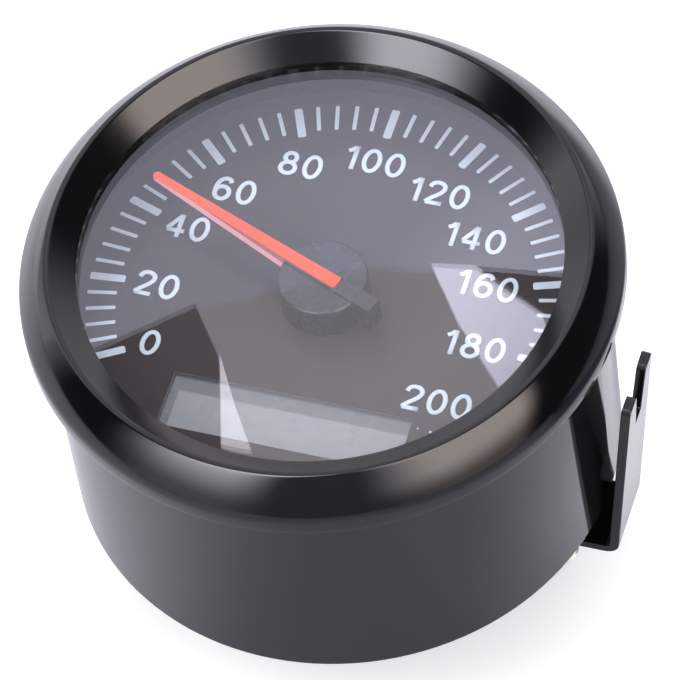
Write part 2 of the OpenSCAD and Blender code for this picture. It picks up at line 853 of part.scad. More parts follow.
// Outline of a spur gear with its first tooth along +X
function gear_outline(teeth, tip) =
    let (pitch = gear_m * teeth / 2)
    let (radii = [pitch - root_depth * gear_m, max(pitch - 0.5 * gear_m, base_r(teeth)), pitch,
        pitch + 0.5 * tip * gear_m, pitch + tip * gear_m])
    let (last = len(radii) - 1)
    [for (t = [0:teeth - 1]) for (k = [0:2 * last + 1])
        let (side = k <= last ? -1 : 1)
        let (r = radii[k <= last ? k : 2 * last + 1 - k])
        let (a = t * 360 / teeth + side * half_tooth(r, teeth))
        [r * cos(a), r * sin(a)]];

// A spur gear with its first tooth in a direction
module gear(teeth, tip, direction, low, high) {
    translate([0, 0, low]) rotate(direction) linear_extrude(high - low)
        polygon(gear_outline(teeth, tip));
}

// Moulded rotor: pinion, seat for the magnet and both pivots
module rotor_pinion() {
    mesh_gap = rotor_dir + 180 + 180 / pinion_teeth;
    color("#e9e2c8") translate([0, rotor_y, 0]) union() {
        gear(pinion_teeth, pinion_tip, mesh_gap, pinion_z, idler_z + gear_t + pinion_over);
        disc(hub_r, magnet_z, pinion_z + pinion_over);
        disc(pivot_r, pivot_low, pivot_high);
    }
}

// Ring magnet on the rotor
module rotor_magnet() {
    color("#55565a") translate([0, rotor_y, 0])
        tube(magnet_r, hub_r + press_gap, magnet_z, magnet_z + magnet_l);
}

// Moulded idler: large wheel, pinion and both pivots
module idler_gear() {
    color("#ded8bd") translate([idler_x, idler_y, 0]) union() {
        gear(idler_teeth, wheel_tip, rotor_dir, idler_z, idler_z + gear_t);
        gear(pinion_teeth, pinion_tip, output_dir + 180 + 180 / pinion_teeth,
            idler_z + gear_t / 2, output_z + gear_t + pinion_over);
        disc(pivot_r, pivot_low, pivot_high);
    }
}

// Wheel on the pointer's shaft
module output_wheel() {
    collar_h = 0.5;
    collar_w = 0.6;
    color("#d2ccae") difference() {
        union() {
            gear(output_teeth, wheel_tip, output_dir, output_z, output_z + gear_t);
            disc(shaft_r + collar_w, output_z - collar_h, output_z + gear_t / 2);
        }
        disc(shaft_r + press_gap, output_z - cut, output_z + gear_t + cut);
    }
}

// Steel shaft of the pointer
module pointer_shaft() {
    color("#bfc1c4") disc(shaft_r, pivot_low, shaft_top);
}

// Round cap with a raised bar and a squared tail, turned to the shown speed
module pointer_cap() {
    top = concat([[0, cap_foot], [cap_r, cap_foot]],
        arc([cap_r - cap_round, cap_top_z - cap_round], cap_round, 0, 90, 6), [[0, cap_top_z]]);
    slot_w = needle_w + fit_gap;
    color("#3d3c40") rotate(pointer_angle) difference() {
        union() {
            rotate_extrude() polygon(top);
            translate([-tail_r, -bar_w / 2, bar_z - tail_d])
                cube([tail_r + cap_r - cap_round, bar_w, tail_d]);
        }
        difference() {
            disc(cap_r - cap_wall, cap_foot - cut, cap_top_z - cap_top);
            disc(shaft_r + cap_wall, cap_foot - cut, cap_top_z);
        }
        disc(shaft_r + press_gap, cap_foot - cut, shaft_top + fit_gap);
        translate([-needle_root - fit_gap, -slot_w / 2, slot_z]) cube([2 * cap_r, slot_w, 2 * cap_h]);
    }
}

// Outline of the needle from above
function needle_plan() = concat(
    [[-needle_root, -needle_w / 2], [cap_r, -needle_w / 2]],
    arc([needle_r - needle_tip_w / 2, 0], needle_tip_w / 2, -90, 90, 8),
    [[cap_r, needle_w / 2], [-needle_root, needle_w / 2]]);

// Clear wedge needle that leads light to its tip
module pointer_needle() {
    side = [[-needle_root, needle_z - needle_d], [cap_r, needle_z - needle_d],
        [needle_r, needle_z - needle_tip_d], [needle_r, needle_z], [-needle_root, needle_z]];
    color([0.95, 0.75, 0.7, 0.6]) rotate(pointer_angle) intersection() {
        translate([0, 0, needle_z - needle_d]) linear_extrude(needle_d) polygon(needle_plan());
        rotate([90, 0, 0]) translate([0, 0, -needle_w]) linear_extrude(2 * needle_w) polygon(side);
    }
}

// Orange foil on the needle
module pointer_foil() {
    color("#ff6a48") rotate(pointer_angle)
        translate([0, 0, needle_z]) linear_extrude(foil_t) polygon(needle_plan());
}

// Blocks at the places of the socket's pins
module socket_pin_places(half, low, high) {
    for (i = [-1.5:1:1.5]) for (j = [-0.5, 0.5])
        block(2 * half, 2 * half, low, high, [i * socket_pitch, j * socket_pitch - socket_y]);
}

// Shrouded socket for the wiring plug, through the case's floor
module socket_shell() {
    outer_w = socket_w + 2 * socket_wall;
    outer_h = socket_h + 2 * socket_wall;
    mouth_z = back_z - socket_out;
    flange_back = floor_z + socket_seal_t;
    color("#1c1c1e") difference() {
        union() {
            block(outer_w, outer_h, mouth_z, power_back, [0, -socket_y]);
            block(outer_w + 2 * socket_flange, outer_h + 2 * socket_flange, flange_back,
                flange_back + socket_flange_t, [0, -socket_y]);
        }
        block(socket_w, socket_h, mouth_z - cut, mouth_z + socket_depth, [0, -socket_y]);
        socket_pin_places(socket_pin_half + press_gap, mouth_z, power_back + cut);
    }
}

// Rubber frame between the socket's flange and the case's floor
module socket_seal() {
    outer_w = socket_w + 2 * socket_wall;
    outer_h = socket_h + 2 * socket_wall;
    color("#8d3a2c") difference() {
        block(outer_w + 2 * socket_flange, outer_h + 2 * socket_flange, floor_z,
            floor_z + socket_seal_t, [0, -socket_y]);
        block(outer_w + fit_gap, outer_h + fit_gap, floor_z - cut, floor_z + cut + socket_seal_t,
            [0, -socket_y]);
    }
}

// Pins of the socket, soldered in the power board
module socket_pins() {
    tip_z = back_z - socket_out + socket_depth - socket_pin_l;
    solder_end = 0.8;
    color("#d0b35a") socket_pin_places(socket_pin_half, tip_z, power_z + solder_end);
}

// Threaded studs moulded in the case's floor
module studs() {
    color("#c2bca4") at_studs() {
        disc(stud_r, back_z - stud_out, floor_z);
        disc(stud_head_r, floor_z, floor_z + stud_head_t);
    }
}

// Side outline of half of the bracket, from the axis to the tip of one leg
function leg_side(lean) =
    let (turn = 90 - lean)
    let (out_r = bend_r + bracket_t)
    let (rise = out_r * (1 - cos(turn)))
    let (heel = leg_x + (bracket_low + rise - bracket_top) * tan(lean))
    let (centre = [heel - out_r * sin(turn), bracket_low + out_r])
    let (tip = [leg_x + leg_len * sin(lean), bracket_top + leg_len * cos(lean)])
    concat([[0, bracket_low]], arc(centre, out_r, -90, turn - 90, 8), [tip],
        [[tip[0] - bracket_t * cos(lean), tip[1] + bracket_t * sin(lean)]],
        arc(centre, bend_r, turn - 90, -90, 6), [[0, bracket_top]]);

// One half of the bracket, with the notch at the leg's tip
module bracket_half(lean) {
    rake = 1.5 * bracket_t;
    notch_tip = bracket_w / 2 - prong_w;
    difference() {
        rotate([90, 0, 0]) translate([0, 0, -bracket_w / 2]) linear_extrude(bracket_w)
            polygon(leg_side(lean));
        translate([leg_x, 0, bracket_top]) rotate([0, lean, 0]) translate([-rake, 0, leg_len])
            rotate([90, 0, 90]) linear_extrude(2 * rake)
                polygon([[-notch_w / 2, -notch_d], [notch_w / 2, -notch_d],
                    [notch_tip, cut], [-notch_tip, cut]]);
    }
}

// Bent steel clamp bracket with two notched legs
module bracket() {
    color("#2b2b2e") difference() {
        union() {
            bracket_half(lean_right);
            mirror([1, 0, 0]) bracket_half(lean_left);
        }
        at_studs() disc(stud_r + stud_gap, bracket_low - cut, bracket_top + cut);
    }
}

// Plain washers under the bracket
module washers() {
    color("#b9b9bd") at_studs() tube(washer_r, stud_r + stud_gap, washer_z, bracket_low);
}

// Split spring washers
module lock_washers() {
    split_w = 0.8;
    color("#a9a9ad") at_studs() difference() {
        tube(lock_r, stud_r + stud_gap, lock_z, washer_z);
        block(lock_r + cut, split_w, lock_z - cut, washer_z + cut, [lock_r / 2 + cut, 0]);
    }
}

// Six-sided nut on a stud
module nut(side) {
    color("#c9bf9a") translate([side * stud_x, 0, nut_z]) difference() {
        cylinder(r = nut_af / 2 / cos(30), h = nut_h, $fn = 6);
        translate([0, 0, -cut]) cylinder(r = stud_r + thread_gap, h = nut_h + 2 * cut);
    }
}

// Nut on the right stud
module nut_right() {
    nut(1);
}

// Nut on the left stud
module nut_left() {
    nut(-1);
}

bezel();
lens();
lens_seal();
inner_ring();
case();
dial_face();
light_guide();
light_housing();
backlight_lamps();
display_glass();
display_light_box();
display_pins();
main_board();
processor();
crystal();
small_chips();
board_link();
power_board();
capacitors();
regulator();
spacers();
board_screws();
motor_housing();
motor_cover();
motor_stator();
motor_coils();
motor_pins();
rotor_pinion();
rotor_magnet();
idler_gear();
output_wheel();
pointer_shaft();
pointer_cap();
pointer_needle();
pointer_foil();
socket_shell();
socket_seal();
socket_pins();
studs();
bracket();
washers();
lock_washers();
nut_right();
nut_left();
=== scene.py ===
import math

import bmesh
import bpy
from mathutils import Matrix, Vector


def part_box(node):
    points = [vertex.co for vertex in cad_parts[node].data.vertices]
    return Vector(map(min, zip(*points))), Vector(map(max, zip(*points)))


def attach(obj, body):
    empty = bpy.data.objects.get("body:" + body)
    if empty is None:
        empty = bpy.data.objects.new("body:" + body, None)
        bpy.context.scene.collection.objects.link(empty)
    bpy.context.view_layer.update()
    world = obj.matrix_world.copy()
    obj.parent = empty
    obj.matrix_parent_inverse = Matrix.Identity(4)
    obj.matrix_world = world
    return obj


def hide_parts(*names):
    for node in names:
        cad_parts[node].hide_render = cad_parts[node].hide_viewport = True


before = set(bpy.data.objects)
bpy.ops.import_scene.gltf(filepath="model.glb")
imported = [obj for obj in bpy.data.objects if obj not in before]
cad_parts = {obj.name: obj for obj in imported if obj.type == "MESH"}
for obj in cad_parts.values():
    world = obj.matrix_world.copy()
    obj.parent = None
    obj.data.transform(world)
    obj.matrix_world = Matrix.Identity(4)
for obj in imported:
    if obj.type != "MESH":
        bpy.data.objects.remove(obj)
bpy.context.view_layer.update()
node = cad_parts
MM = 0.001


# Camera. The gauge lies on its back and is seen from its front, 55 degrees above the table,
# with a long lens. The picture is 680 by 680.
view_azimuth = math.radians(24.618)
view_height = math.radians(54.549)
view_roll = math.radians(9.229)
view_distance = 947.41 * MM
view_target = Vector((8.22, -15.47, 8.5)) * MM
picture_size = 680
pixels_per_slope = 6476.96
sensor_width = 36

camera_data = bpy.data.cameras.new("camera")
camera = bpy.data.objects.new("camera", camera_data)
bpy.context.scene.collection.objects.link(camera)
bpy.context.scene.camera = camera
camera_data.sensor_width = sensor_width
camera_data.lens = sensor_width * pixels_per_slope / picture_size
camera_data.clip_start = 0.01
away = Vector((math.sin(view_azimuth) * math.cos(view_height),
               -math.cos(view_azimuth) * math.cos(view_height), math.sin(view_height)))
turn = Matrix.Rotation(view_azimuth, 4, "Z") @ Matrix.Rotation(math.pi / 2 - view_height, 4, "X")
camera.matrix_world = (Matrix.Translation(view_target + away * view_distance) @ turn
                       @ Matrix.Rotation(-view_roll, 4, "Z"))


# Table. A sheet of white paper, bright to the eye. In reflections it is painted a little darker
# and bluer, with painted pools of light: the brightest one on the right, close by the case,
# and two strips of painted shade beyond it.
def linear(hex_colour):
    """An sRGB hex colour as the linear values that a shader takes."""
    parts = [int(hex_colour[i:i + 2], 16) / 255 for i in (1, 3, 5)]
    return [p / 12.92 if p <= 0.04045 else ((p + 0.055) / 1.055) ** 2.4 for p in parts] + [1]


def add(tree, kind, settings=None, links=None):
    """A node with its settings, and with its inputs linked or set."""
    made = tree.nodes.new(kind)
    for name, value in (settings or {}).items():
        setattr(made, name, value)
    for name, value in (links or {}).items():
        if isinstance(value, bpy.types.NodeSocket):
            tree.links.new(value, made.inputs[name])
        else:
            made.inputs[name].default_value = value
    return made


def deselect():
    """Leaves edit mode, with nothing selected."""
    if bpy.context.object and bpy.context.object.mode != "OBJECT":
        bpy.ops.object.mode_set(mode="OBJECT")
    bpy.ops.object.select_all(action="DESELECT")


def mirrored_rays(tree):
    """One for a ray that comes off a gloss surface or through glass, else nought."""
    rays = add(tree, "ShaderNodeLightPath")
    either = add(tree, "ShaderNodeMath", {"operation": "MAXIMUM"},
                 {0: rays.outputs["Is Glossy Ray"], 1: rays.outputs["Is Transmission Ray"]})
    return either.outputs[0]


def soft_edges(tree, *edges):
    """The product of soft edges; each takes a value, over a stretch, from one level to another."""
    product = 1.0
    for value, start, end, before, after in edges:
        edge = add(tree, "ShaderNodeMapRange", {"interpolation_type": "SMOOTHSTEP"},
                   {"Value": value, "From Min": start, "From Max": end,
                    "To Min": before, "To Max": after})
        product = add(tree, "ShaderNodeMath", {"operation": "MULTIPLY"},
                      {0: edge.outputs[0], 1: product}).outputs[0]
    return product


deselect()
table_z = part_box("studs")[0].z
table_w = 6.0
bpy.ops.mesh.primitive_plane_add(size=table_w, location=(0, 0, table_z))
table = bpy.context.object
table.name = "table"
bpy.ops.object.transform_apply(location=True)

paper = bpy.data.materials.new("white_paper")
paper.use_nodes = True
tree = paper.node_tree
tree.nodes.clear()
seen = add(tree, "ShaderNodeLightPath").outputs["Is Camera Ray"]
mirrored = mirrored_rays(tree)
place = add(tree, "ShaderNodeTexCoord")
along = add(tree, "ShaderNodeSeparateXYZ", None, {0: place.outputs["Object"]})
x, y = along.outputs["X"], along.outputs["Y"]
# Soft edges of the pools: where each starts and ends, in metres, and the light before and after.
right_front, right_back = (y, -0.045, 0.005, 0.1, 1.0), (y, 0.06, 0.15, 1.0, 0.3)
# Painted pools of light in the glow that reflections see; the two with a negative level are
# painted shade.
painted_pools = [
    [(x, 0.038, 0.048, 0.0, 0.62), right_front, right_back],
    [(x, 0.056, 0.075, 0.0, -0.35), right_front, right_back],
    [(x, 0.072, 0.105, 0.0, -0.85), right_front, right_back],
    [(x, -0.01, -0.06, 0.0, 0.25)],
    [(x, -0.06, -0.12, 0.0, 0.12)],
    [(x, -0.1, -0.2, 0.0, 0.5), (y, -0.06, 0.06, 0.0, 1.0)],
    [(y, 0.1, 0.2, 0.0, 0.65), (x, 0.04, 0.14, 1.0, 0.0)],
]
seen_glow = 0.3
light = add(tree, "ShaderNodeMath", {"operation": "MULTIPLY"}, {0: seen, 1: seen_glow}).outputs[0]
for pool in painted_pools:
    light = add(tree, "ShaderNodeMath", {"operation": "MULTIPLY_ADD"},
                {0: soft_edges(tree, *pool), 1: mirrored, 2: light}).outputs[0]
# Painted shade: the paper is darker and bluer in reflections than to the camera.
tone = add(tree, "ShaderNodeMix", {"data_type": "RGBA"},
           {"Factor": mirrored, 6: linear("#f4f4f4"), 7: linear("#bbb9c6")})
glow = add(tree, "ShaderNodeEmission", None, {"Color": linear("#fbfaff"), "Strength": light})
flat = add(tree, "ShaderNodeBsdfDiffuse", None, {"Color": tone.outputs[2]})
both = add(tree, "ShaderNodeAddShader", None, {0: glow.outputs[0], 1: flat.outputs[0]})
add(tree, "ShaderNodeOutputMaterial", None, {"Surface": both.outputs[0]})
table.data.materials.append(paper)


# Light tent. White cloth round the table, as gloss and glass show it: a bright soft box at each
# front corner and evenly lit cloth on the left and at the back, with dark between them, which
# gives a gloss black ring its bright and black bands. Matt pieces see even light and the lamps.
def tent_wall(tree, azimuth, height, start, end, low, high, top, lean=0.0):
    """Brightness of a stretch of the tent's wall; its far end leans out with the height."""
    far_side = add(tree, "ShaderNodeMath", {"operation": "MULTIPLY_ADD"},
                   {0: height, 1: -lean, 2: azimuth}).outputs[0]
    return soft_edges(tree, (azimuth, start[0] - start[1], start[0] + start[1], 0, 1),
                      (far_side, end[0] - end[1], end[0] + end[1], 1, 0),
                      (height, wall_foot, top, low, high))


world = bpy.data.worlds.new("light_tent")
bpy.context.scene.world = world
world.use_nodes = True
tree = world.node_tree
tree.nodes.clear()
way = add(tree, "ShaderNodeTexCoord")
parts = add(tree, "ShaderNodeSeparateXYZ", None, {0: way.outputs["Generated"]})
azimuth = add(tree, "ShaderNodeMath", {"operation": "ARCTAN2"},
              {0: parts.outputs["Y"], 1: parts.outputs["X"]})
azimuth = add(tree, "ShaderNodeMath", {"operation": "DEGREES"}, {0: azimuth.outputs[0]}).outputs[0]
height = add(tree, "ShaderNodeMath", {"operation": "ARCSINE"}, {0: parts.outputs["Z"]})
height = add(tree, "ShaderNodeMath", {"operation": "DEGREES"}, {0: height.outputs[0]}).outputs[0]
# Start and end in degrees from +X, each with half its softness; then the brightness at the foot
# and above, the height in degrees from which it is even, and the lean of the end per degree.
wall_foot = 4
tent_walls = [
    ((-139, 13), (-101, 11), 1.2, 11.8, 60),
    ((-98, 11), (-56, 14), 0.35, 0.4, 30),
    ((-50, 16), (-11, 6), 1.2, 6.4, 30, 0.4),
    ((58, 12), (168, 12), 1.25, 1.17, 26),
    ((168, 10), (190, 8), 1.9, 1.9, 45),
    ((-190, 8), (-176, 10), 1.9, 1.9, 45),
]
tent_dark = 0.05
even_light = 1.0
seen_white = 1.0
walls = tent_dark
for wall in tent_walls:
    walls = add(tree, "ShaderNodeMath", {"operation": "ADD"},
                {0: walls, 1: tent_wall(tree, azimuth, height, *wall)}).outputs[0]
mirrored = mirrored_rays(tree)
seen = add(tree, "ShaderNodeLightPath").outputs["Is Camera Ray"]
bright = add(tree, "ShaderNodeMix", {"data_type": "FLOAT"},
             {"Factor": mirrored, 2: even_light, 3: walls}).outputs[0]
bright = add(tree, "ShaderNodeMix", {"data_type": "FLOAT"},
             {"Factor": seen, 2: bright, 3: seen_white}).outputs[0]
warm_side = soft_edges(tree, (azimuth, -60, -35, 0.0, 1.0), (azimuth, 5, 30, 1.0, 0.0))
cloth_tone = add(tree, "ShaderNodeMix", {"data_type": "RGBA"},
                 {"Factor": warm_side, 6: linear("#f4f2ff"), 7: linear("#fff0ea")})
cast = add(tree, "ShaderNodeMix", {"data_type": "RGBA"},
           {"Factor": mirrored, 6: linear("#ffffff"), 7: cloth_tone.outputs[2]})
sky = add(tree, "ShaderNodeBackground", None, {"Color": cast.outputs[2], "Strength": bright})
add(tree, "ShaderNodeOutputWorld", None, {"Surface": sky.outputs[0]})
bpy.context.scene.view_settings.view_transform = "Standard"


# Lamps. Three square lamps that stand outside the tent's walls and light the matt pieces through
# them. The walls stand for them in gloss and glass, so these don't show there.
def soft_lamp(name, azimuth_deg, height_deg, width, watts):
    """A square lamp that looks at the gauge."""
    lamp = bpy.data.lights.new(name, "AREA")
    lamp.size = width
    lamp.energy = watts
    holder = bpy.data.objects.new(name, lamp)
    bpy.context.scene.collection.objects.link(holder)
    a, h = math.radians(azimuth_deg), math.radians(height_deg)
    out = Vector((math.cos(a) * math.cos(h), math.sin(a) * math.cos(h), math.sin(h)))
    holder.location = out * lamp_distance
    holder.rotation_euler = out.to_track_quat("Z", "Y").to_euler()
    holder.visible_glossy = False
    holder.visible_transmission = False


lamp_distance = 1.2
soft_lamp("back_lamp", azimuth_deg=122, height_deg=52, width=0.35, watts=7.0)
soft_lamp("right_lamp", azimuth_deg=-25, height_deg=40, width=0.7, watts=4.0)
soft_lamp("left_lamp", azimuth_deg=-150, height_deg=42, width=0.7, watts=5.0)


# Roof of the tent. Two halves of cloth that meet at a seam, each with an opening and a lit fold
# beside it, as the flat glass mirrors them. Corners are pixels of the picture at which the glass
# shows them, each with its brightness there.
def roof_point(pixel_x, pixel_y):
    """Point of the roof that a flat glass mirrors at a pixel of the picture."""
    axes = camera.matrix_world.to_3x3()
    middle = picture_size / 2
    look = axes @ Vector(((pixel_x - middle) / pixels_per_slope,
                          (middle - pixel_y) / pixels_per_slope, -1))
    start = camera.matrix_world.translation
    hit = start + look * ((glass_z - start.z) / look.z)
    look.z = -look.z
    return hit + look * ((roof_z - hit.z) / look.z)


def roof_patch(name, corners, layer, tint):
    """A flat piece of the roof that glows; only glass and gloss show it."""
    mesh = bpy.data.meshes.new(name)
    points = [roof_point(x, y) - Vector((0, 0, layer * MM)) for x, y, level in corners]
    mesh.from_pydata(points, [], [list(range(len(points)))])
    levels = mesh.attributes.new("level", "FLOAT", "POINT")
    for stored, (x, y, level) in zip(levels.data, corners):
        stored.value = level
    patch = bpy.data.objects.new(name, mesh)
    bpy.context.scene.collection.objects.link(patch)
    cloth = bpy.data.materials.new(name)
    cloth.use_nodes = True
    tree = cloth.node_tree
    tree.nodes.clear()
    level = add(tree, "ShaderNodeAttribute", {"attribute_name": "level"})
    shine = add(tree, "ShaderNodeEmission", None,
                {"Color": linear(tint), "Strength": level.outputs["Fac"]})
    add(tree, "ShaderNodeOutputMaterial", None, {"Surface": shine.outputs[0]})
    mesh.materials.append(cloth)
    patch.visible_camera = False
    patch.visible_diffuse = False
    patch.visible_shadow = False


roof_z = 0.75
glass_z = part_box("lens")[1].z
cloth_layer, opening_layer, fold_layer = 0, 2, 4
far_tint, near_tint, fold_tint = "#e5e7ff", "#f6f2ff", "#eae8ff"
opening_light = 0.02
seam_left, seam_middle, seam_peak, seam_right = (196, 307), (300, 284), (369, 266), (432, 269)
far_edge, near_edge, left_edge, right_edge, near_right_edge = 20, 560, 20, 640, 620
seam_left_end = (left_edge, 390)
far_left_cloth = [(left_edge, far_edge, 1.9), (seam_peak[0], far_edge, 2.2), (*seam_peak, 2.2),
                  (*seam_middle, 2.05), (*seam_left, 1.9), (*seam_left_end, 1.8)]
far_right_cloth = [(seam_peak[0], far_edge, 2.2), (right_edge, far_edge, 2.5),
                   (right_edge, 283, 3.1), (563, 277, 3.2), (477, 270, 3.1), (*seam_right, 2.5),
                   (*seam_peak, 2.2)]
near_cloth = [(*seam_left_end, 1.4), (*seam_left, 1.4), (*seam_middle, 1.5), (*seam_peak, 1.55),
              (*seam_right, 1.65), (near_right_edge, 282, 1.8),
              (near_right_edge, near_edge, 1.8), (left_edge, near_edge, 1.5)]
left_opening = [(*corner, opening_light) for corner in (
    seam_left, (219, 359), (222, 455), (185, 446), (150, 431), (122, 407), (102, 379), (95, 352))]
left_fold = [(221, 360, 5.5), (236, 411, 5.5), (253, 458, 4.8), (222, 452, 4.8)]
right_opening = [(*corner, opening_light) for corner in (
    (478, 270), (575, 278), (572, 322), (548, 319))]
right_fold = [(432, 271, 7.7), (476, 273, 7.2), (499, 292, 6.8), (543, 321, 6.1), (549, 340, 5.7),
              (533, 374, 5.3), (503, 396, 5.5), (498, 391, 5.8), (459, 329, 7.1)]
roof_patch("roof_back_left", far_left_cloth, cloth_layer, far_tint)
roof_patch("roof_back_right", far_right_cloth, cloth_layer, far_tint)
roof_patch("roof_front", near_cloth, cloth_layer, near_tint)
roof_patch("roof_gap_left", left_opening, opening_layer, near_tint)
roof_patch("roof_fold_left", left_fold, fold_layer, near_tint)
roof_patch("roof_gap_right", right_opening, opening_layer, near_tint)
roof_patch("roof_fold_right", right_fold, fold_layer, fold_tint)


# Case. A cup moulded in black ABS and polished, so that it shows the table all round. Its floor
# carries the studs, the board and the wiring socket.
def finish(name, dark, light, grain, rough, bump=0.0, metallic=0.0, specular=0.5):
    """A material with a mottled tone, uneven gloss and a fine relief, all of one grain in mm."""
    made = bpy.data.materials.new(name)
    made.use_nodes = True
    tree = made.node_tree
    shader = tree.nodes["Principled BSDF"]
    shader.inputs["Metallic"].default_value = metallic
    shader.inputs["Specular IOR Level"].default_value = specular
    place = add(tree, "ShaderNodeTexCoord")
    mottle = add(tree, "ShaderNodeTexNoise", None,
                 {"Vector": place.outputs["Object"], "Scale": 1 / (grain * MM), "Detail": 3.0})
    tone = add(tree, "ShaderNodeMix", {"data_type": "RGBA"},
               {"Factor": mottle.outputs["Fac"], 6: linear(dark), 7: linear(light)})
    tree.links.new(tone.outputs[2], shader.inputs["Base Color"])
    sheen = add(tree, "ShaderNodeMapRange", None,
                {"Value": mottle.outputs["Fac"], "To Min": rough[0], "To Max": rough[1]})
    tree.links.new(sheen.outputs[0], shader.inputs["Roughness"])
    if bump:
        relief = add(tree, "ShaderNodeBump", None,
                     {"Height": mottle.outputs["Fac"], "Distance": bump * MM, "Strength": 0.5})
        tree.links.new(relief.outputs[0], shader.inputs["Normal"])
    return made


def dress(material, *names):
    """Gives a material to plain nodes."""
    for name in names:
        node[name].data.materials.clear()
        node[name].data.materials.append(material)


dress(finish("polished_black_abs", "#131315", "#18181a", 2.5, (0.05, 0.08)), "case")

# Wiring socket. A shroud of glass-filled nylon with a satin skin, a soft red silicone seal
# against the case's floor, and square tinned brass pins soldered in the power board.
dress(finish("satin_black_nylon", "#161617", "#222224", 0.6, (0.45, 0.6), 0.01), "socket_shell")
dress(finish("red_silicone", "#7a2318", "#8d2b1e", 0.8, (0.5, 0.6), 0.01), "socket_seal")
tinned = finish("tinned_brass", "#b9b9bb", "#cfcfd1", 0.5, (0.25, 0.38), 0.002, metallic=1.0)
dress(tinned, "socket_pins", "display_pins", "motor_pins")


# Studs. Steel rods with a rolled 4 mm thread, plated in clear zinc, which is a little cloudy and
# paler than bare steel. Their round heads are moulded into the case's floor.
def keep(thing, body, slot, *replaced):
    """Gives a finished piece to its body, in place of the plain nodes; its slot is not used."""
    for name in replaced:
        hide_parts(name)
    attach(thing, body)


def choose(thing):
    """Makes a piece the only one that operators act on."""
    deselect()
    bpy.context.view_layer.objects.active = thing
    thing.select_set(True)


def edit(thing):
    """Opens a piece in edit mode, selected all over."""
    choose(thing)
    bpy.ops.object.mode_set(mode="EDIT")
    bpy.ops.mesh.select_all(action="SELECT")


def join(pieces, name):
    """Joins pieces into one under a name."""
    deselect()
    for piece in pieces:
        piece.select_set(True)
    bpy.context.view_layer.objects.active = pieces[0]
    bpy.ops.object.join()
    whole = bpy.context.object
    whole.name = name
    return whole


def thread(name, radius, pitch, low, high):
    """A rod with a screw thread, cut flat at both ends."""
    spare_turns = 3
    foot = low - spare_turns / 2 * pitch
    root = radius - 0.6 * pitch
    # radius and height of the corners of one turn, the heights in pitches
    one_turn = ((root, 0), (radius, 0.4), (radius, 0.6), (root, 1))
    mesh = bpy.data.meshes.new(name)
    mesh.from_pydata([(r * MM, 0, (foot + part * pitch) * MM) for r, part in one_turn],
                     [(0, 1), (1, 2), (2, 3)], [])
    rod = bpy.data.objects.new(name, mesh)
    bpy.context.scene.collection.objects.link(rod)
    choose(rod)
    screw = rod.modifiers.new("screw", "SCREW")
    screw.screw_offset = pitch * MM
    screw.iterations = math.ceil((high - low) / pitch) + spare_turns
    screw.steps = screw.render_steps = 24
    bpy.ops.object.modifier_apply(modifier="screw")
    edit(rod)
    bpy.ops.mesh.remove_doubles(threshold=tight)
    for level, side in ((low, -1), (high, 1)):
        bpy.ops.mesh.select_all(action="SELECT")
        bpy.ops.mesh.bisect(plane_co=(0, 0, level * MM), plane_no=(0, 0, side),
                            use_fill=True, clear_outer=True, threshold=tight)
    bpy.ops.mesh.select_all(action="SELECT")
    bpy.ops.mesh.normals_make_consistent(inside=False)
    bpy.ops.object.mode_set(mode="OBJECT")
    return rod


tight = 0.001 * MM
smooth_angle = math.radians(30)
stud_low, stud_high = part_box("studs")
stud_r = 2
stud_pitch = 0.7
stud_head_r = 4
stud_head_t = 2
stud_sunk = 0.05
stud_x = stud_high.x / MM - stud_head_r
rods = []
for side in (-1, 1):
    rod = thread("stud", stud_r, stud_pitch, stud_low.z / MM,
                 stud_high.z / MM - stud_head_t + stud_sunk)
    rod.data.transform(Matrix.Translation((side * stud_x * MM, 0, 0)))
    bpy.ops.mesh.primitive_cylinder_add(
        vertices=48, radius=stud_head_r * MM, depth=stud_head_t * MM,
        location=(side * stud_x * MM, 0, stud_high.z - stud_head_t / 2 * MM))
    head = bpy.context.object
    bpy.ops.object.transform_apply(location=True)
    rods += [rod, head]
studs = join(rods, "threaded_studs")
bpy.ops.object.shade_smooth_by_angle(angle=smooth_angle)
zinc = finish("clear_zinc_plate", "#aeada9", "#c4c3bf", 1.2, (0.3, 0.45), 0.003, metallic=1.0)
studs.data.materials.append(zinc)
keep(studs, "gauge", "zinc_steel", "studs")


# Boards. Glass-epoxy sheets under a glossy green solder mask, through which the copper tracks
# show as paler lines. The main board carries the movement, the power board the socket.
def overlay(made, factor, colour):
    """Lays another colour over a finish where a factor is one."""
    tree = made.node_tree
    shader = tree.nodes["Principled BSDF"]
    under = shader.inputs["Base Color"].links[0].from_socket
    tone = add(tree, "ShaderNodeMix", {"data_type": "RGBA"},
               {"Factor": factor, 6: under, 7: linear(colour)})
    tree.links.new(tone.outputs[2], shader.inputs["Base Color"])


solder_mask = finish("green_solder_mask", "#0d3b22", "#12452a", 0.4, (0.25, 0.35), 0.002)
track_cell = 2.4
track_share = 0.06
tree = solder_mask.node_tree
place = add(tree, "ShaderNodeTexCoord")
cells = add(tree, "ShaderNodeTexVoronoi",
            {"feature": "DISTANCE_TO_EDGE", "voronoi_dimensions": "2D", "distance": "EUCLIDEAN"},
            {"Vector": place.outputs["Object"], "Scale": 1 / (track_cell * MM),
             "Randomness": 0.6})
tracks = add(tree, "ShaderNodeMath", {"operation": "LESS_THAN"},
             {0: cells.outputs["Distance"], 1: track_share})
overlay(solder_mask, tracks.outputs[0], "#2a7a4c")
dress(solder_mask, "main_board", "power_board")

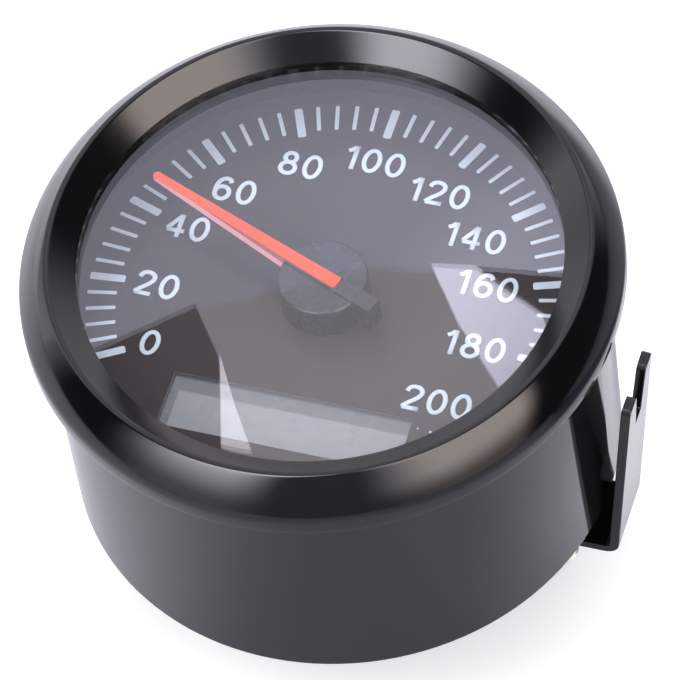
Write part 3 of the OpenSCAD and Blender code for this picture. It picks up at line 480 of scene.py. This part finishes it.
# Parts on the boards. Chips in dull black epoxy, a crystal in a nickel can, capacitors in shrunk
# blue sleeves, and the brass spacers and steel screws that hold both boards on the case's floor.
dress(finish("black_epoxy", "#17171a", "#202023", 0.3, (0.5, 0.65), 0.008),
      "processor", "small_chips", "regulator", "board_link")
nickel = finish("nickel_can", "#9b9a96", "#b3b2ae", 0.8, (0.2, 0.3), 0.002, metallic=1.0)
dress(nickel, "crystal")
dress(finish("blue_sleeve", "#1f3763", "#274374", 1.0, (0.3, 0.4), 0.003), "capacitors")
brass = finish("turned_brass", "#b08a43", "#c39a50", 0.5, (0.22, 0.35), 0.003, metallic=1.0)
dress(brass, "spacers")
steel = finish("bright_steel", "#8d8d90", "#a2a2a6", 0.6, (0.22, 0.34), 0.002, metallic=1.0)
dress(steel, "board_screws", "pointer_shaft")

# Movement. A stepping motor in a two-part acetal box: a laminated stator with two wire coils,
# and a magnet whose pinion turns the pointer through two wheels. The wire is drawn coarser
# than it is, so that its turns show, with dark bands of painted shade between them. The iron's
# dark bands are the seams between its sheets.
acetal = finish("cream_acetal", "#c9c2a4", "#d6cfb3", 1.2, (0.38, 0.5), 0.005)
dress(acetal, "motor_housing", "motor_cover")
dress(finish("white_acetal", "#d9d8d2", "#e6e5df", 0.9, (0.35, 0.45), 0.003),
      "rotor_pinion", "idler_gear", "output_wheel")
dress(finish("sintered_ferrite", "#2b2a2c", "#38373a", 0.3, (0.5, 0.65), 0.01), "rotor_magnet")
wire = finish("wound_copper_wire", "#8d4a26", "#a35a30", 0.3, (0.25, 0.35), metallic=1.0)
iron = finish("laminated_iron", "#5a5a5e", "#6b6b70", 0.6, (0.35, 0.5), metallic=1.0)
wire_w = 0.16
sheet_w = 0.5
# Dark bands: painted shade between the wire's turns, and the seams between the iron's sheets.
for made, width, axis, dark in ((wire, wire_w, "Y", "#5a2a14"), (iron, sheet_w, "Z", "#3c3c40")):
    tree = made.node_tree
    place = add(tree, "ShaderNodeTexCoord")
    stripes = add(tree, "ShaderNodeTexWave", {"wave_type": "BANDS", "bands_direction": axis},
                  {"Vector": place.outputs["Object"], "Scale": math.pi / (10 * width * MM)})
    overlay(made, stripes.outputs["Fac"], dark)
dress(wire, "motor_coils")
dress(iron, "motor_stator")

# Light unit. Lamps with yellow phosphor stand on the board in a ring; a white moulded tray
# throws their light forward into a clear polished acrylic plate behind the dial.
dress(finish("yellow_phosphor", "#dccf8a", "#e8dda0", 0.3, (0.4, 0.5), 0.004), "backlight_lamps")
white_moulding = finish("white_polycarbonate", "#dfdfdb", "#ecece8", 1.0, (0.4, 0.5), 0.004)
dress(white_moulding, "light_housing", "display_light_box")
clear_plate = finish("clear_acrylic", "#dfe8ea", "#e8f0f2", 2.0, (0.04, 0.08))
clear_plate.node_tree.nodes["Principled BSDF"].inputs["Transmission Weight"].default_value = 0.8
dress(clear_plate, "light_guide")

# Display. A blank liquid crystal glass behind the dial's window. Its lit diffuser lies deep in
# the light box; the box's walls are painted as a band of shade at the top and on the left, and
# the diffuser as a lighter area inside it.
display = finish("pale_display_glass", "#6a6c75", "#6e7079", 4.0, (0.25, 0.3), specular=0.3)
dress(display, "display_glass")
window_left = -18.3
window_top = -17.6
left_shade = 1.5
top_shade = 2.7
shade_blur = 0.2
lit_left = window_left + left_shade
lit_top = window_top - top_shade
tree = display.node_tree
place = add(tree, "ShaderNodeTexCoord")
across = add(tree, "ShaderNodeSeparateXYZ", None, {0: place.outputs["Object"]})
# Painted light on the lit area; the band left outside it is painted shade.
lit = soft_edges(
    tree,
    (across.outputs["X"], (lit_left - shade_blur) * MM, (lit_left + shade_blur) * MM, 0.0, 1.0),
    (across.outputs["Y"], (lit_top + shade_blur) * MM, (lit_top - shade_blur) * MM, 0.0, 1.0))
overlay(display, lit, "#8a8d96")

# Dial. An aluminium sheet, stamped and then screen printed in matt charcoal, fixed on the white
# tray. The stamped edge of its window is bare metal and shows as a pale line.
dial_print = finish("charcoal_print", "#403b3e", "#423e41", 1.6, (0.5, 0.6), specular=0.12)
dress(dial_print, "dial_face")
steep = 0.5
tree = dial_print.node_tree
facing = add(tree, "ShaderNodeNewGeometry")
upright = add(tree, "ShaderNodeSeparateXYZ", None, {0: facing.outputs["True Normal"]})
cut_edge = add(tree, "ShaderNodeMath", {"operation": "LESS_THAN"},
               {0: upright.outputs["Z"], 1: steep})
overlay(dial_print, cut_edge.outputs[0], "#8f9097")

# Scale. Blue-white ink, screen printed over the charcoal as 51 marks with rounded corners; every
# fifth one is a broad mark with a number beside it.
scale_ink = finish("blue_white_ink", "#c8d4e4", "#cdd8e8", 0.6, (0.5, 0.6), specular=0.2)
dial_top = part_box("dial_face")[1].z
ink_t = 0.03
ink_middle = dial_top + ink_t / 2 * MM
zero_direction = 210
step_degrees = 4.8
marks = 51
marks_per_number = 5
# Middle radius, length and width of a mark.
fine_mark = (34.1, 4.5, 0.62)
bold_mark = (33.7, 5.45, 1.28)
mark_round = 0.22


def choose_edges(piece, wanted):
    """Opens a piece in edit mode with only the wanted edges selected."""
    edit(piece)
    bpy.ops.mesh.select_all(action="DESELECT")
    shape = bmesh.from_edit_mesh(piece.data)
    for edge in shape.edges:
        if wanted(*(corner.co for corner in edge.verts)):
            edge.select_set(True)
    bmesh.update_edit_mesh(piece.data)


def printed_mark(middle_r, length, width):
    """A thin block with its corners rounded, lying on the dial's right at a radius."""
    bpy.ops.mesh.primitive_cube_add(size=1, location=(middle_r * MM, 0, ink_middle))
    mark = bpy.context.object
    mark.scale = (length * MM, width * MM, ink_t * MM)
    bpy.ops.object.transform_apply(location=True, scale=True)
    choose_edges(mark, lambda one, other: abs(one.z - other.z) > 0.5 * ink_t * MM)
    bpy.ops.mesh.bevel(offset=mark_round * width * MM, segments=3, affect="EDGES")
    bpy.ops.object.mode_set(mode="OBJECT")
    return mark


deselect()
patterns = {size: printed_mark(*size) for size in (fine_mark, bold_mark)}
ticks = []
for i in range(marks):
    pattern = patterns[bold_mark if i % marks_per_number == 0 else fine_mark]
    copy = pattern.copy()
    copy.data = pattern.data.copy()
    bpy.context.scene.collection.objects.link(copy)
    copy.data.transform(Matrix.Rotation(math.radians(zero_direction - i * step_degrees), 4, "Z"))
    ticks.append(copy)
for pattern in patterns.values():
    bpy.data.objects.remove(pattern)
scale_marks = join(ticks, "scale_marks")
scale_marks.data.materials.append(scale_ink)
keep(scale_marks, "gauge", "scale_ink")


# Numerals. Strokes of the same ink with round ends, upright beside their marks. A stroke is given
# on its middle line, in heights of a numeral, and says whether it closes on itself.
def loop(x, y, half_w, half_h):
    """Points of an oval stroke."""
    return [(x + half_w * math.cos(a * math.pi / 6), y + half_h * math.sin(a * math.pi / 6))
            for a in range(12)]


numeral_h = 4.6
stroke_w = 0.76
figure_w = 3.72
one_w = 2.75
numerals = {
    "0": [(loop(0, 0.5, 0.25, 0.42), True)],
    "1": [([(0.10, 0.02), (0.10, 0.98)], False),
          ([(-0.17, 0.745), (-0.05, 0.81), (0.06, 0.94)], False)],
    "2": [([(-0.25, 0.70), (-0.21, 0.83), (-0.10, 0.905), (0.02, 0.915), (0.15, 0.875),
            (0.232, 0.78), (0.235, 0.67), (0.18, 0.555), (0.06, 0.42), (-0.11, 0.27),
            (-0.22, 0.15), (-0.27, 0.08)], False),
          ([(-0.27, 0.08), (0.28, 0.08)], False)],
    "4": [([(0.115, 0.93), (-0.28, 0.33)], False), ([(-0.28, 0.30), (0.32, 0.30)], False),
          ([(0.12, 0.03), (0.12, 0.95)], False)],
    "6": [(loop(0.01, 0.33, 0.24, 0.25), True),
          ([(0.225, 0.76), (0.17, 0.87), (0.06, 0.915), (-0.06, 0.89), (-0.16, 0.79),
            (-0.225, 0.62), (-0.235, 0.40), (-0.22, 0.26)], False)],
    "8": [(loop(0, 0.725, 0.19, 0.19), True), (loop(0, 0.305, 0.245, 0.225), True)],
}
# Middle of each number on the dial.
number_places = {0: (-23.55, -13.5), 20: (-25.75, -3.15), 40: (-24.5, 8.1), 60: (-19.7, 16.3),
                 80: (-11.25, 23.2), 100: (-0.4, 26.4), 120: (10.85, 22.9), 140: (18.5, 16.1),
                 160: (22.75, 8.05), 180: (24.0, -2.95), 200: (21.45, -13.85)}
lettering = bpy.data.curves.new("numerals", "CURVE")
lettering.dimensions = "3D"
lettering.bevel_depth = stroke_w / 2 * MM
lettering.bevel_resolution = 2
lettering.resolution_u = 4
lettering.use_fill_caps = True
for number, (x, y) in number_places.items():
    widths = [one_w if figure == "1" else figure_w for figure in str(number)]
    left = x - sum(widths) / 2
    for figure, width in zip(str(number), widths):
        middle = left + width / 2
        left += width
        for points, closed in numerals[figure]:
            spline = lettering.splines.new("BEZIER")
            spline.bezier_points.add(len(points) - 1)
            spline.use_cyclic_u = closed
            handle = "VECTOR" if len(points) == 2 else "AUTO"
            for knot, (u, v) in zip(spline.bezier_points, points):
                knot.co = ((middle + u * numeral_h) * MM, (y + (v - 0.5) * numeral_h) * MM, 0)
                knot.handle_left_type = knot.handle_right_type = handle
numbers = bpy.data.objects.new("dial_numbers", lettering)
bpy.context.scene.collection.objects.link(numbers)
choose(numbers)
bpy.ops.object.convert(target="MESH")
numbers = bpy.context.object
edit(numbers)
bpy.ops.mesh.remove_doubles(threshold=tight)
bpy.ops.object.mode_set(mode="OBJECT")
numbers.data.transform(Matrix.Diagonal((1, 1, ink_t / stroke_w, 1)))
numbers.data.transform(Matrix.Translation((0, 0, ink_middle)))
numbers.data.materials.append(scale_ink)
keep(numbers, "gauge", "scale_ink")

# Dots. Two specks of the same ink beside the display's window, printed with the scale. They are
# round and different in size, and mark nothing that can be read.
dots = []
for x, y, r in ((19.98, -19.04, 0.13), (21.97, -19.19, 0.2)):
    bpy.ops.mesh.primitive_cylinder_add(vertices=16, radius=r * MM, depth=ink_t * MM,
                                        location=(x * MM, y * MM, ink_middle))
    bpy.ops.object.transform_apply(location=True)
    dots.append(bpy.context.object)
dots = join(dots, "ink_dots")
dots.data.materials.append(scale_ink)
keep(dots, "gauge", "scale_ink")


# Pointer. A wedge of clear acrylic with a hot-stamped orange foil on top, pressed in a cap of
# dark grey satin plastic. Its low edge is a pale pink band with a painted glow, which stands for
# light that runs through the wedge and leaves there.
def break_edges(piece, width, segments):
    """Rounds the sharp edges of a piece by a width in mm."""
    choose(piece)
    edges = piece.modifiers.new("edges", "BEVEL")
    edges.width = width * MM
    edges.segments = segments
    edges.limit_method = "ANGLE"
    edges.angle_limit = sharp_angle
    bpy.ops.object.modifier_apply(modifier="edges")


def worked_copy(name, source, edge=0, segments=2):
    """A copy of a plain node with whole faces, its sharp edges broken by a width in mm."""
    copy = bpy.data.objects.new(name, node[source].data.copy())
    bpy.context.scene.collection.objects.link(copy)
    copy.data.materials.clear()
    edit(copy)
    bpy.ops.mesh.remove_doubles(threshold=2 * tight)
    bpy.ops.mesh.dissolve_limited(angle_limit=flat_angle)
    bpy.ops.object.mode_set(mode="OBJECT")
    if edge:
        break_edges(copy, edge, segments)
    bpy.ops.object.shade_smooth_by_angle(angle=round_angle)
    return copy


flat_angle = math.radians(1)
round_angle = math.radians(35)
sharp_angle = math.radians(40)
cap = worked_copy("satin_cap", "pointer_cap", edge=0.38, segments=4)
cap.data.materials.append(finish("satin_grey_cap", "#25252e", "#2b2b34", 2.0, (0.24, 0.3)))
keep(cap, "pointer", "cap_grey", "pointer_cap")

pointer_direction = math.radians(158.4)
pointer_way = Vector((math.cos(pointer_direction), math.sin(pointer_direction), 0))
root_zone = 2.75
tip_r = 32.7
cap_r = 6.8
root_round = 0.45


def round_root(piece):
    """Rounds the two upright corners at the pointer's root."""
    def at_root(one, other):
        behind = max(one.dot(pointer_way), other.dot(pointer_way)) < -root_zone * MM
        return behind and (other - one).xy.length < tight

    choose_edges(piece, at_root)
    bpy.ops.mesh.bevel(offset=root_round * MM, segments=4, affect="EDGES")
    bpy.ops.object.mode_set(mode="OBJECT")


foil = worked_copy("orange_strip", "pointer_foil")
round_root(foil)
orange = finish("hot_stamped_orange", "#f84a1e", "#fd5226", 0.4, (0.35, 0.45), specular=0.3)
foil.data.materials.append(orange)
keep(foil, "pointer", "foil_orange", "pointer_foil")

needle = worked_copy("clear_wedge", "pointer_needle")
round_root(needle)
streak_w = 1.5
haze_share = 0.35
pink_top = 1.15
pink_blur = 0.08
wedge = bpy.data.materials.new("clear_pointer_acrylic")
wedge.use_nodes = True
tree = wedge.node_tree
shader = tree.nodes["Principled BSDF"]
place = add(tree, "ShaderNodeTexCoord")
streaks = add(tree, "ShaderNodeTexNoise", None,
              {"Vector": place.outputs["Object"], "Scale": 1 / (streak_w * MM), "Detail": 2.0})
pink = add(tree, "ShaderNodeMix", {"data_type": "RGBA"},
           {"Factor": streaks.outputs["Fac"], 6: linear("#ffc4ca"), 7: linear("#ffd2d6")})
tree.links.new(pink.outputs[2], shader.inputs["Base Color"])
shader.inputs["Roughness"].default_value = 0.3
# Painted glow: the low edge's pink emission, though the wedge is no lamp.
shader.inputs["Emission Color"].default_value = linear("#ff8f9e")
shader.inputs["Emission Strength"].default_value = 0.26
clear = add(tree, "ShaderNodeBsdfTransparent", None, {"Color": linear("#d8d2d6")})
haze = add(tree, "ShaderNodeBsdfPrincipled", None,
           {"Base Color": linear("#3a3438"), "Roughness": 0.15})
side = add(tree, "ShaderNodeMixShader", None,
           {0: haze_share, 1: clear.outputs[0], 2: haze.outputs[0]})
# The pink band's top climbs along the wedge: from below its middle by the cap to above it at
# the tip.
level = add(tree, "ShaderNodeSeparateXYZ", None, {0: place.outputs["Object"]})
reach = add(tree, "ShaderNodeVectorMath", {"operation": "DOT_PRODUCT"},
            {0: place.outputs["Object"], 1: pointer_way})
band = add(tree, "ShaderNodeMapRange", None,
           {"Value": reach.outputs["Value"], "From Min": cap_r * MM, "From Max": tip_r * MM,
            "To Min": -pink_top * MM, "To Max": pink_top * MM})
above = add(tree, "ShaderNodeMath", {"operation": "SUBTRACT"},
            {0: level.outputs["Z"], 1: band.outputs[0]})
low_edge = soft_edges(tree, (above.outputs[0], pink_blur * MM, -pink_blur * MM, 0.0, 1.0))
mixed = add(tree, "ShaderNodeMixShader", None,
            {0: low_edge, 1: side.outputs[0], 2: shader.outputs[0]})
tree.links.new(mixed.outputs[0], tree.nodes["Material Output"].inputs["Surface"])
needle.data.materials.append(wedge)
keep(needle, "pointer", "clear_acrylic", "pointer_needle")

# Ring between dial and glass. A black moulding that holds the dial down and the glass up,
# polished enough to mirror the ends of the marks. A dull black rubber seal grips the glass's rim.
dress(finish("polished_black_ring", "#19191c", "#1f1f22", 1.5, (0.1, 0.14)), "inner_ring")
dress(finish("black_seal_rubber", "#121213", "#1a1a1b", 0.4, (0.7, 0.85), 0.01), "lens_seal")

# Glass. Flat float glass, held by its seal. Both its faces mirror the roof, which doubles the
# edges of what they show; faint smears soften them. Light falls through it on the dial.
smear_w = 12
glass = bpy.data.materials.new("float_glass")
glass.use_nodes = True
tree = glass.node_tree
shader = tree.nodes["Principled BSDF"]
shader.inputs["IOR"].default_value = 1.52
shader.inputs["Transmission Weight"].default_value = 1.0
place = add(tree, "ShaderNodeTexCoord")
smears = add(tree, "ShaderNodeTexNoise", None,
             {"Vector": place.outputs["Object"], "Scale": 1 / (smear_w * MM), "Detail": 2.0})
smooth = add(tree, "ShaderNodeMapRange", None,
             {"Value": smears.outputs["Fac"], "To Min": 0.0, "To Max": 0.002})
tree.links.new(smooth.outputs[0], shader.inputs["Roughness"])
shader.inputs["Base Color"].default_value = linear("#ffffff")
rays = add(tree, "ShaderNodeLightPath")
through = add(tree, "ShaderNodeMath", {"operation": "MAXIMUM"},
              {0: rays.outputs["Is Shadow Ray"], 1: rays.outputs["Is Diffuse Ray"]})
clear = add(tree, "ShaderNodeBsdfTransparent", None, {"Color": linear("#f6f6f6")})
mixed = add(tree, "ShaderNodeMixShader", None,
            {0: through.outputs[0], 1: shader.outputs[0], 2: clear.outputs[0]})
tree.links.new(mixed.outputs[0], tree.nodes["Material Output"].inputs["Surface"])
dress(glass, "lens")


# Bezel. A steel ring spun over a form and rolled over the glass and the case, in gloss black
# enamel: its flank swells a little, and its inner face is less glossy than its outside.
def turned(name, outline, steps):
    """A solid of revolution of a closed outline of (radius, height) in mm."""
    mesh = bpy.data.meshes.new(name)
    count = len(outline)
    mesh.from_pydata([(r * MM, 0, z * MM) for r, z in outline],
                     [(i, (i + 1) % count) for i in range(count)], [])
    solid = bpy.data.objects.new(name, mesh)
    bpy.context.scene.collection.objects.link(solid)
    choose(solid)
    spin = solid.modifiers.new("spin", "SCREW")
    spin.steps = spin.render_steps = steps
    spin.use_merge_vertices = True
    spin.merge_threshold = tight
    bpy.ops.object.modifier_apply(modifier="spin")
    edit(solid)
    bpy.ops.mesh.normals_make_consistent(inside=False)
    bpy.ops.object.mode_set(mode="OBJECT")
    bpy.ops.object.shade_smooth_by_angle(angle=round_angle)
    return solid


def on_arc(centre, radius, angle):
    """Point of an arc, at an angle in degrees from the way outward."""
    a = math.radians(angle)
    return centre[0] + radius * math.cos(a), centre[1] + radius * math.sin(a)


def arc(centre, radius, start, end, steps):
    """Points of an arc from one angle to another."""
    return [on_arc(centre, radius, start + (end - start) * i / steps) for i in range(steps + 1)]


# The sheet's section: a crest, a straight face inward to the lip on the glass, and a swelling
# flank that ends in a shoulder and a hem. Angles are those of the surface's normal.
case_r = 42.5
sheet_t = 0.8
bezel_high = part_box("bezel")[1] / MM
bezel_r = bezel_high.x
glass_top = glass_z / MM
crest_in = 1.9
crest_round = 0.9
crest = (case_r - crest_in, bezel_high.z - crest_round)
inner_normal = 126.5
inner_face_w = 4.2
lip_w = 0.75
flank_start, flank_end = 50, 30
shoulder_round = 3.0
hem_round = 0.4
case_gap = 0.25
hem_r = case_r + case_gap
lip_r = crest[0] - inner_face_w
foot_r = lip_r + lip_w
start_cos, end_cos = (math.cos(math.radians(a)) for a in (flank_start, flank_end))
flank_w = bezel_r - shoulder_round * (1 - end_cos) - crest[0] - crest_round * start_cos
flank_round = flank_w / (end_cos - start_cos)
flank = on_arc(crest, crest_round - flank_round, flank_start)
shoulder = on_arc(flank, flank_round - shoulder_round, flank_end)
inner_fall = math.tan(math.radians(inner_normal - 90))
inner_edge = on_arc(crest, crest_round, inner_normal)
sheet_edge = on_arc(crest, crest_round - sheet_t, inner_normal)
outline = [(lip_r, glass_top), (lip_r, inner_edge[1] - (inner_edge[0] - lip_r) * inner_fall)]
outline += arc(crest, crest_round, inner_normal, flank_start, 12)
outline += arc(flank, flank_round, flank_start, flank_end, 10)[1:]
outline += arc(shoulder, shoulder_round, flank_end, 0, 8)[1:]
outline += arc((bezel_r - hem_round, hem_round), hem_round, 0, -90, 4)
outline += [(hem_r, 0), (hem_r, sheet_t), (bezel_r - sheet_t, sheet_t)]
outline += arc(shoulder, shoulder_round - sheet_t, 0, flank_end, 6)
outline += arc(flank, flank_round - sheet_t, flank_end, flank_start, 6)[1:]
outline += arc(crest, crest_round - sheet_t, flank_start, inner_normal, 4)[1:]
outline += [(foot_r, sheet_edge[1] - (sheet_edge[0] - foot_r) * inner_fall), (foot_r, glass_top)]
bezel = turned("spun_bezel", outline, steps=192)
gloss_from, dull_from = crest[0] - 0.2, crest[0] - 0.6
dullness = 0.06
enamel = finish("gloss_black_enamel", "#050506", "#080809", 5.0, (0.06, 0.11))
tree = enamel.node_tree
shader = tree.nodes["Principled BSDF"]
sheen = shader.inputs["Roughness"].links[0].from_socket
place = add(tree, "ShaderNodeTexCoord")
flat_place = add(tree, "ShaderNodeVectorMath", {"operation": "MULTIPLY"},
                 {0: place.outputs["Object"], 1: (1, 1, 0)})
from_middle = add(tree, "ShaderNodeVectorMath", {"operation": "LENGTH"},
                  {0: flat_place.outputs[0]})
dull = soft_edges(
    tree, (from_middle.outputs["Value"], gloss_from * MM, dull_from * MM, 0.0, dullness))
rough = add(tree, "ShaderNodeMath", {"operation": "ADD"}, {0: sheen, 1: dull})
tree.links.new(rough.outputs[0], shader.inputs["Roughness"])
bezel.data.materials.append(enamel)
keep(bezel, "gauge", "bezel_black", "bezel")


# Clamp. A strip of steel, sheared with two prongs at each end, bent to a U and painted gloss
# black. Plain and split washers and six-sided nuts, all zinc plated, hold it on the studs.
def at_prong_corner(one, other):
    """True of an edge through the strip's thickness, at the end of a prong."""
    return min(one.z, other.z) > prong_top - prong_zone * MM and abs(one.y - other.y) < 10 * tight


prong_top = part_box("bracket")[1].z
prong_zone = 1.5
prong_round = 0.9
bracket = worked_copy("clamp_bracket", "bracket")
choose_edges(bracket, at_prong_corner)
bpy.ops.mesh.bevel(offset=prong_round * MM, segments=4, affect="EDGES")
bpy.ops.object.mode_set(mode="OBJECT")
break_edges(bracket, width=0.22, segments=3)
bracket.data.materials.append(finish("gloss_black_paint", "#0b0b0c", "#101012", 1.5, (0.1, 0.14)))
keep(bracket, "clamp", "bracket_black", "bracket")

for name, source, edge in (("plain_washers", "washers", 0.12),
                           ("split_washers", "lock_washers", 0.1)):
    rings = worked_copy(name, source, edge)
    rings.data.materials.append(zinc)
    keep(rings, "clamp", "steel_bright", source)

nut_chamfer = 0.45
nut_low, nut_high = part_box("nut_right")
nut = worked_copy("nut_right_turned", "nut_right")
bpy.ops.mesh.primitive_cylinder_add(vertices=64, radius=(nut_high.x - nut_low.x) / 2,
                                    depth=nut_high.z - nut_low.z,
                                    location=(nut_low + nut_high) / 2)
blank = bpy.context.object
bevel = blank.modifiers.new("chamfer", "BEVEL")
bevel.width = nut_chamfer * MM
bevel.segments = 1
bpy.ops.object.modifier_apply(modifier="chamfer")
choose(nut)
chamfered = nut.modifiers.new("chamfered", "BOOLEAN")
chamfered.operation = "INTERSECT"
chamfered.solver = "EXACT"
chamfered.object = blank
bpy.ops.object.modifier_apply(modifier="chamfered")
bpy.data.objects.remove(blank)
nut.data.materials.append(zinc)
left_nut = nut.copy()
left_nut.data = nut.data.copy()
left_nut.name = "nut_left_turned"
bpy.context.scene.collection.objects.link(left_nut)
left_nut.data.transform(Matrix.Translation(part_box("nut_left")[0] - nut_low))
keep(nut, "right_nut", "zinc_steel", "nut_right")
keep(left_nut, "left_nut", "zinc_steel", "nut_left")
